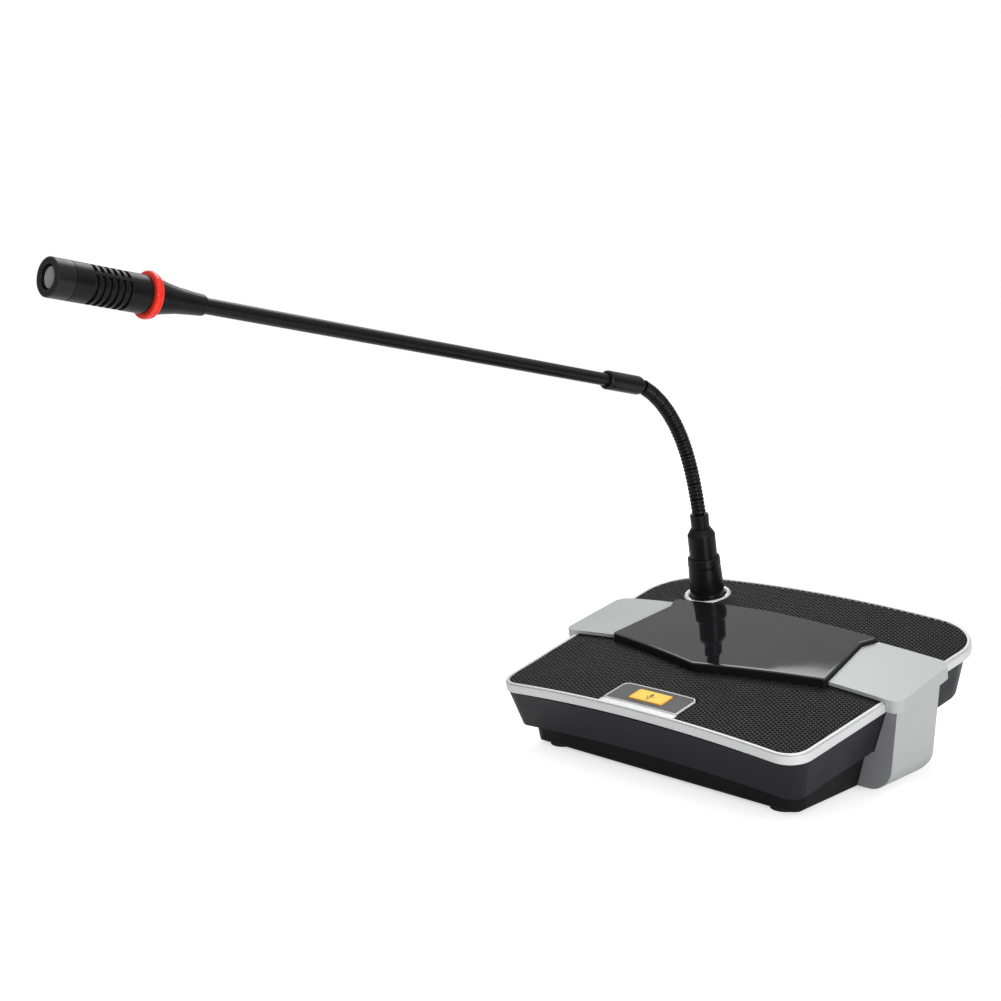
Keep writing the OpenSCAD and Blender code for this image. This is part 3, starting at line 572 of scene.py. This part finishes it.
def perforated(name, cut, cover):
    """Black sheet with staggered round holes over dark cloth; the hole walls take the cloth finish as painted
    shade; cells are cut off under the trim around it.
    """
    keep = np.array([(p.x, p.y) for p in outline(RIM, RIM_ROUNDS, 1.9, 12, 4.0)])
    column, corner = HOLE_PITCH * math.sin(math.radians(60)), HOLE_PITCH / math.sqrt(3)
    spots = np.array([(i * column, (j + 0.5 * (i % 2)) * HOLE_PITCH) for i in range(-56,
                                                                                    57) for j in range(-45,
                                                                                                       36)])
    ok = inside(spots, keep)
    for c in cut:
        ok &= ~inside(spots, np.array(c))
    angles = [math.radians(30 * k) for k in range(12)]
    edge = [(math.cos(a) * r, math.sin(a) * r)
            for a, r in zip(angles, [corner, HOLE_PITCH / 2] * 6)]
    rings = [(edge, 0.0), ([(HOLE_R * math.cos(a), HOLE_R * math.sin(a)) for a in angles], -0.12),
             ([((HOLE_R - 0.05) * math.cos(a), (HOLE_R - 0.05) * math.sin(a)) for a in angles], -0.65)]
    verts, faces = [], []
    for x, y in spots[ok]:
        base = len(verts)
        for ring, h in rings:
            verts += [(x + dx, y + dy, rise(x + dx) + SHEET_TOP + h) for dx, dy in ring]
        for k in range(12):
            m = (k + 1) % 12
            faces.append((base + k, base + m, base + 12 + m, base + 12 + k))
            faces.append((base + 12 + k, base + 12 + m, base + 24 + m, base + 24 + k))
        faces.append(tuple(range(base + 24, base + 36)))
    piece = put(name, verts, faces, TOP, "base", "black_mesh", (cover,), weighted=False)
    piece.data.materials.append(MATERIALS["black_cloth"])
    # hole floors are the dark cloth; the metal hole walls get the cloth finish too, as painted shade inside the
    # holes
    for face in piece.data.polygons:
        face.material_index = 1 if len(face.vertices) == 12 or face.normal.dot(PLUG_AXIS) < 0.35 else 0


def grilles():
    panel = [(x * 0.985, y + (1.2 if y < 0 else -1.2)) for x, y in panel_points()]
    button = [(-PLATE_HALF + 0.3, -100), (PLATE_HALF - 0.3, -100), (PLATE_HALF - 0.3, PLATE_REAR - 0.8),
              (-PLATE_HALF + 0.3, PLATE_REAR - 0.8)]
    socket = [(SOCKET_X + 12.4 * math.cos(a), SOCKET_V + 12.4 * math.sin(a))
              for a in np.linspace(0, 2 * math.pi, 48, endpoint=False)]
    perforated("front_grille_skin", [panel, button, [(-120, FRONT_GRILLE_END), (120, FRONT_GRILLE_END),
                                                     (120, 90), (-120, 90)]],
               "front_grille")
    perforated("rear_grille_skin", [panel, socket, [(-120, -100), (120, -100), (120, REAR_GRILLE_START),
                                                    (-120, REAR_GRILLE_START)]],
               "rear_grille")


# ---- base: gloss panel and talk button ------------------------------------------

def gloss_panel():
    steps = [(0.0, -0.7), (0.0, PANEL_TOP - 1.0), (0.08, PANEL_TOP - 0.6), (0.3, PANEL_TOP - 0.25),
             (0.65, PANEL_TOP - 0.06), (1.1, PANEL_TOP), (2.0, PANEL_TOP), (3.6, PANEL_TOP)]
    verts, faces = slab(panel_points(), [2.2, 5, 2.2, 2.5, 2.2, 20, 2.2, 2.5], steps, grid=4.0,
                        bottom=False)
    panel = put("gloss_panel_skin", verts, faces, TOP, "base", "gloss_black", ("gloss_panel",))
    # the thin walls are moulded, not polished
    panel.data.materials.append(MATERIALS["black_moulding"])
    for face in panel.data.polygons:
        if face.normal.dot(PLUG_AXIS) < 0.3:
            face.material_index = 1


def talk_button():
    softened("button_bezel", 0.1)
    softened("button_halo", 0.1)
    softened("button_plate", 0.1)
    half = (button_high[0] - button_low[0]) / 2 - LENS_MARGIN
    deep = LENS_HALF_DEPTH
    lens = [(-half, BUTTON_V - deep), (half, BUTTON_V - deep), (half, BUTTON_V + deep), (-half,
                                                                                         BUTTON_V + deep)]
    top = button_high[2] - rim_high[2]
    verts, faces = slab(lens, [0.9] * 4, [(0, -2.2), (0, top - 0.35), (0.07, top - 0.15), (0.2,
                                                                                           top - 0.04),
                                                                                           (0.4, top)],
                        grid=2.5)
    put("talk_button_skin", verts, faces, TOP, "button", "amber_lens", ("talk_button",))
    # a plain microphone sign, a little proud of the lens
    verts, faces = [], []

    def sign(points, radii):
        shape = [(x, BUTTON_V + y) for x, y in points]
        more, tris = slab(shape, radii, [(0, top - 0.1), (0, top + 0.03)], grid=2.0)
        base = len(verts)
        verts.extend(more)
        faces.extend([[base + i for i in f] for f in tris])

    sign([(-0.8, -0.6), (0.8, -0.6), (0.8, 2.6), (-0.8, 2.6)], [0.78] * 4)
    arc = [math.radians(a) for a in range(180, 361, 15)]
    for a, b in zip(arc, arc[1:]):
        sign([(1.65 * math.cos(a), 0.3 + 1.65 * math.sin(a)), (2.05 * math.cos(a),
                                                               0.3 + 2.05 * math.sin(a)),
              (2.05 * math.cos(b), 0.3 + 2.05 * math.sin(b)), (1.65 * math.cos(b),
                                                               0.3 + 1.65 * math.sin(b))],
             [0] * 4)
    sign([(-0.22, -2.8), (0.22, -2.8), (0.22, -1.7), (-0.22, -1.7)], [0] * 4)
    sign([(-1.3, -3.15), (1.3, -3.15), (1.3, -2.75), (-1.3, -2.75)], [0] * 4)
    put("talk_sign", verts, faces, TOP, "button", "orange_edge")


# ---- plug, neck, stem ---------------------------------------------------------------

def plug():
    turned("socket_ring_skin",
           [(10.2, -4.6), (12, -4.6), (12, -1.6), (13.3, -1.6), (13.3, 0.7), (12.6, 1.4), (11, 1.4), (10.2,
                                                                                                      0.6)],
           SOCKET, "base", "bright_ring", ("socket_ring",))
    turned("plug_shell_skin",
           [(8, -12), (9.45, -12), (9.45, 0.2), (9.6, 0.8), (9.6, 5), (9.15, 16.4), (9, 17), (9, 18.6),
            (9.15, 19.2),
            (8.95, 23), (8.4, 23.7), (7.85, 23.7), (7.85, 4), (8, 3.6)],
           SOCKET, "plug", "black_metal", ("plug_shell",), 0.3)
    turned("plug_body_skin",
           [(5.2, 4.4), (7.7, 4.4), (7.7, 36.6), (7.3, 37.4), (5.4, 40.6), (3.4, 40.6), (3.4, 36), (5.2,
                                                                                                    34)],
           SOCKET, "plug", "black_metal", ("plug_body",), 0.3)
    turned("neck_sleeve_skin",
           [(1, 36), (3.3, 36), (3.3, 40.7), (5.05, 40.7), (5.2, 48), (4.8, 48.6), (2.9, 48.5), (2.4,
                                                                                                 46.8), (1,
                                                                                                         46)],
           SOCKET, "plug", "black_metal", ("neck_sleeve",), 0.3)


def neck():
    """Each link carries round ribs; a ball in the link's foot sits in the cup of the one before."""
    core, ball, cup, face = NECK_R - 0.55, 2.7, 2.78, 0.33
    for i in range(len(BENDS) - 1):
        start, end = BENDS[i], BENDS[i + 1]
        length = (end - start).length / MM
        ribs = max(1, round(length / RIB_PITCH))
        pitch = length / ribs
        half = pitch / 2 - 0.3
        profile = [(max(0.0, ball * math.cos(math.radians(a))), ball * math.sin(math.radians(a)))
                   for a in range(-90, 1, 15)]
        profile += [(ball, face), (core, face)]
        for k in range(ribs):
            mid = (k + 0.5) * pitch
            for a in range(180, -1, -30):
                profile.append((core + 0.55 * math.sin(math.radians(a)) ** 0.8 if 0 < a < 180 else core,
                                mid + half * math.cos(math.radians(a))))
        profile += [(core, length - face), (cup, length - face)]
        profile += [(max(0.0, cup * math.cos(math.radians(a))), length + cup * math.sin(math.radians(a)))
                    for a in range(-8, -91, -16)]
        profile.append((0.0, length - cup))
        node = record["behaviour"]["bodies"][chain[i]["child"]][0]
        turned(node + "_skin", profile, axes(start, end - start), chain[i]["child"], "black_metal", (node,
                                                                                                     ), 0,
                                                                                                     48)


def stem():
    turned("neck_collar_skin",
           [(0, -2.7), (1.9, -1.9), (2.65, -0.5), (2.65, 0.85), (3.4, 1.0), (COLLAR_R - 0.25, 3.6),
            (COLLAR_R, 4.6),
            (COLLAR_R, 26.5), (COLLAR_R - 0.16, 26.9), (COLLAR_R - 0.16, 27.4), (COLLAR_R, 27.8),
            (COLLAR_R, 29.1),
            (COLLAR_R - 0.8, 29.9), (3.3, 29.9), (3.3, 14), (0, 14)],
           STEM, "microphone_head", "black_metal", ("neck_collar",), 0.3)
    turned("stem_tube_skin", [(2.45, 14), (STEM_R, 14), (STEM_R, CONE_START + 4), (2.45, CONE_START + 4)],
           STEM, "microphone_head", "black_metal", ("stem_tube",), 0)
    turned("head_cone_skin",
           [(3.3, CONE_START), (4.1, CONE_START), (4.25, CONE_START + 0.5), (4.55, CONE_START + 5),
            (5.2, CONE_START + 12.4), (6.1, CONE_START + 17.6), (7.2, RING_BACK - 0.9), (7.3,
                                                                                         RING_BACK - 0.1),
            (6.4, RING_BACK - 0.1), (6.4, RING_FRONT - 3), (5.4, RING_FRONT - 3), (5.4, RING_BACK - 3),
            (3.9, CONE_START + 8), (3.3, CONE_START + 6)],
           STEM, "microphone_head", "black_metal", ("head_cone",), 0.3)
    turned("light_ring_skin",
           [(6.5, RING_BACK), (RING_R - 0.8, RING_BACK), (RING_R - 0.4, RING_BACK + 0.4),
            (RING_R - 0.4, RING_BACK + 1.1), (RING_R - 0.9, RING_BACK + 1.3), (RING_R - 0.9,
                                                                               RING_BACK + 1.6),
            (RING_R, RING_BACK + 1.8), (RING_R, RING_FRONT - 0.6), (RING_R - 0.5, RING_FRONT), (6.5,
                                                                                                RING_FRONT)],
           STEM, "microphone_head", "red_lens", ("light_ring",), 0.14)


def head():
    barrel_end = HEAD_END - CAP
    levels = [RING_FRONT + 0.05, RING_FRONT + 0.35]
    for k in range(SLOTS):
        mid = SLOT_FIRST + k * SLOT_PITCH
        levels += [mid - SLOT_W / 2, mid + SLOT_W / 2]
    levels.append(barrel_end)
    around = STEPS_ROUND
    verts, faces = [], []
    for z in levels:
        r = HEAD_R - (0.3 if z == levels[0] else 0.0)
        for k in range(around):
            a = math.radians(SLOT_START + SLOT_STEP * k)
            verts.append((r * math.cos(a), r * math.sin(a), z))
    for i in range(len(levels) - 1):
        open_row = 2 <= i < 2 * SLOTS + 1 and i % 2 == 0
        for k in range(around):
            if open_row and k % (STEPS_ROUND // 2) < SLOT_STEPS:
                continue
            m = (k + 1) % around
            faces.append([i * around + k, i * around + m, (i + 1) * around + m, (i + 1) * around + k])
    barrel = put("head_barrel_skin", verts, faces, STEM, "microphone_head", "black_metal", ("head_barrel",),
                 weighted=False)
    wall = barrel.modifiers.new("wall", "SOLIDIFY")
    wall.thickness = 1.15 * MM
    wall.offset = -1
    soften(barrel, 0.3, 3, 40)
    even = barrel.modifiers.new("even_normals", "WEIGHTED_NORMAL")
    even.weight = 80
    turned("front_cap_skin",
           [(6.85, barrel_end + 0.08), (HEAD_R - 0.12, barrel_end + 0.08), (HEAD_R, barrel_end + 0.25),
            (HEAD_R, HEAD_END - 0.45), (HEAD_R - 0.42, HEAD_END), (5.1, HEAD_END), (4.82, HEAD_END - 0.25),
            (4.8, HEAD_END - 1.6), (6.25, HEAD_END - 1.6), (6.25, HEAD_END - 3.8), (6.85, HEAD_END - 3.8)],
           STEM, "microphone_head", "cap_metal", ("front_cap",), 0.2)
    top = HEAD_END - 1.3
    turned("capsule_gasket_skin",
           [(6.15, HEAD_END - 9), (6.15, HEAD_END - 1.7), (4.2, HEAD_END - 1.7), (4.2, HEAD_END - 2.4),
            (4.95, HEAD_END - 2.4), (4.95, HEAD_END - 9)],
           STEM, "microphone_head", "soft_rubber", ("capsule_gasket",), 0.12, finish="black_cloth")
    turned("capsule_screen_skin",
           [(0, top - 1.8), (4.1, top - 1.8), (4.1, top - 0.15), (3.95, top), (3.75, top), (3.65,
                                                                                            top - 0.12),
            (0, top - 0.12)],
           STEM, "microphone_head", "capsule_metal", ("capsule_screen",), 0.04)
    disc = [Vector((3.7 * math.cos(a), 3.7 * math.sin(a))) for a in np.linspace(0, 2 * math.pi, 40,
                                                                                endpoint=False)]
    woven("capsule_gauze", disc, [], 0.36, 0.085, 0.04, lambda x: top - 0.03, STEM, "microphone_head",
          "capsule_metal", "capsule_metal")


# ---- build ----------------------------------------------------------------------------

silver_frame()
grilles()
gloss_panel()
talk_button()
for node in ("left_side_cover", "right_side_cover"):
    cover = softened(node, 0.7, 3, "silver_cover")
    # painted shade: the leg's flat front gets a darker copy of the silver, standing for the shadow under the
    # cover's overhang
    cover.data.materials.append(MATERIALS["painted_shade_silver"])
    for face in cover.data.polygons:
        if face.normal.y < -0.99 and face.center.y > (LEG_FRONT - 0.5) * MM:
            face.material_index = 1
softened("upper_housing", 0.5, 2)
softened("bottom_cover", 0.5, 2)
softened("rubber_feet", 0.4, 2)
softened("outlet_flange", 0.3, 2)
softened("outlet_screws", 0.15, 2)
plug()
neck()
stem()
head()
for node, cad in nodes.items():
    if not cad.hide_render:
        finish = MATERIALS[slot_of[node]]
        if len(cad.data.materials):
            for i in range(len(cad.data.materials)):
                cad.data.materials[i] = finish
        else:
            cad.data.materials.append(finish)


# ---- floor, light, camera -----------------------------------------------------------------

FLOOR_R, FADE_START, FADE_END = 4.0, 0.45, 1.6      # metres
FLOOR_LIFT = 0.6                                    # extra brightness of the floor to the eye only
HORIZON_LIGHT, OVERHEAD_LIGHT, OVERHEAD_FROM = 0.16, 0.85, 0.55
LAMPS = [("key", (1.25, -0.6, 0.3), (0, 0, 0.05), 0.7, 11), ("back", (-0.6, 0.5, 1.2), (0, 0, 0.1), 1.0, 7)]
CAMERA_SPOT, CAMERA_PITCH, CAMERA_HEADING = (0.4552, -0.6437, 0.2573), 80.3, 43.95
CAMERA_LENS, CAMERA_SENSOR, CAMERA_SHIFT = 55.96, 36, 0.0144


def floor():
    """A pale table top that fades out into the white surroundings."""
    bpy.ops.mesh.primitive_circle_add(vertices=128, radius=FLOOR_R, fill_type="NGON")
    disc = bpy.context.object
    disc.name = "table_top"
    mat = bpy.data.materials.new("pale_table")
    mat.use_nodes = True
    tree = mat.node_tree
    shader = tree.nodes["Principled BSDF"]
    tree.links.new(ramp(tree, noise(tree, 300, 4), (0.86, 0.86, 0.86), (0.9, 0.9, 0.9)),
                   shader.inputs["Base Color"])
    shader.inputs["Roughness"].default_value = 0.9
    shader.inputs["Specular IOR Level"].default_value = 0.1
    shader.inputs["Emission Color"].default_value = (1, 1, 1, 1)
    eye_only = tree.nodes.new("ShaderNodeMath")
    eye_only.operation = "MULTIPLY"
    eye_only.inputs[1].default_value = FLOOR_LIFT
    tree.links.new(tree.nodes.new("ShaderNodeLightPath").outputs["Is Camera Ray"], eye_only.inputs[0])
    tree.links.new(eye_only.outputs[0], shader.inputs["Emission Strength"])
    where = tree.nodes.new("ShaderNodeTexCoord").outputs["Object"]
    reach = tree.nodes.new("ShaderNodeVectorMath")
    reach.operation = "LENGTH"
    tree.links.new(where, reach.inputs[0])
    fade = tree.nodes.new("ShaderNodeMapRange")
    fade.inputs["From Min"].default_value = FADE_START
    fade.inputs["From Max"].default_value = FADE_END
    tree.links.new(reach.outputs["Value"], fade.inputs["Value"])
    clear = tree.nodes.new("ShaderNodeBsdfTransparent")
    both = tree.nodes.new("ShaderNodeMixShader")
    tree.links.new(fade.outputs["Result"], both.inputs[0])
    tree.links.new(shader.outputs[0], both.inputs[1])
    tree.links.new(clear.outputs[0], both.inputs[2])
    tree.links.new(both.outputs[0], tree.nodes["Material Output"].inputs["Surface"])
    disc.data.materials.append(mat)


def lamp(name, spot, target, size, power):
    data = bpy.data.lights.new(name, "AREA")
    data.shape = "DISK"
    data.size = size
    data.energy = power
    light = bpy.data.objects.new(name, data)
    bpy.context.scene.collection.objects.link(light)
    light.location = spot
    light.rotation_euler = (Vector(target) - Vector(spot)).to_track_quat("-Z", "Y").to_euler()


def studio():
    """White to the eye; as light it is bright overhead and dim towards the horizon."""
    world = bpy.data.worlds.new("studio")
    world.use_nodes = True
    tree = world.node_tree
    seen = tree.nodes["Background"]
    seen.inputs["Color"].default_value = (1, 1, 1, 1)
    seen.inputs["Strength"].default_value = 1.0
    light = tree.nodes.new("ShaderNodeBackground")
    split = tree.nodes.new("ShaderNodeSeparateXYZ")
    tree.links.new(tree.nodes.new("ShaderNodeTexCoord").outputs["Generated"], split.inputs[0])
    height = tree.nodes.new("ShaderNodeMapRange")
    height.inputs["From Min"].default_value = 0.0
    height.inputs["From Max"].default_value = OVERHEAD_FROM
    height.inputs["To Min"].default_value = HORIZON_LIGHT
    height.inputs["To Max"].default_value = OVERHEAD_LIGHT
    tree.links.new(split.outputs[2], height.inputs["Value"])
    tree.links.new(height.outputs["Result"], light.inputs["Strength"])
    both = tree.nodes.new("ShaderNodeMixShader")
    tree.links.new(tree.nodes.new("ShaderNodeLightPath").outputs["Is Camera Ray"], both.inputs[0])
    tree.links.new(light.outputs[0], both.inputs[1])
    tree.links.new(seen.outputs[0], both.inputs[2])
    tree.links.new(both.outputs[0], tree.nodes["World Output"].inputs["Surface"])
    bpy.context.scene.world = world


floor()
for settings in LAMPS:
    lamp(*settings)
studio()
bpy.context.scene.view_settings.view_transform = "Standard"

eye = bpy.data.cameras.new("photo_camera")
eye.lens = CAMERA_LENS
eye.sensor_width = CAMERA_SENSOR
eye.shift_y = CAMERA_SHIFT
camera = bpy.data.objects.new("photo_camera", eye)
bpy.context.scene.collection.objects.link(camera)
camera.location = CAMERA_SPOT
camera.rotation_euler = (math.radians(CAMERA_PITCH), 0, math.radians(CAMERA_HEADING))
bpy.context.scene.camera = camera
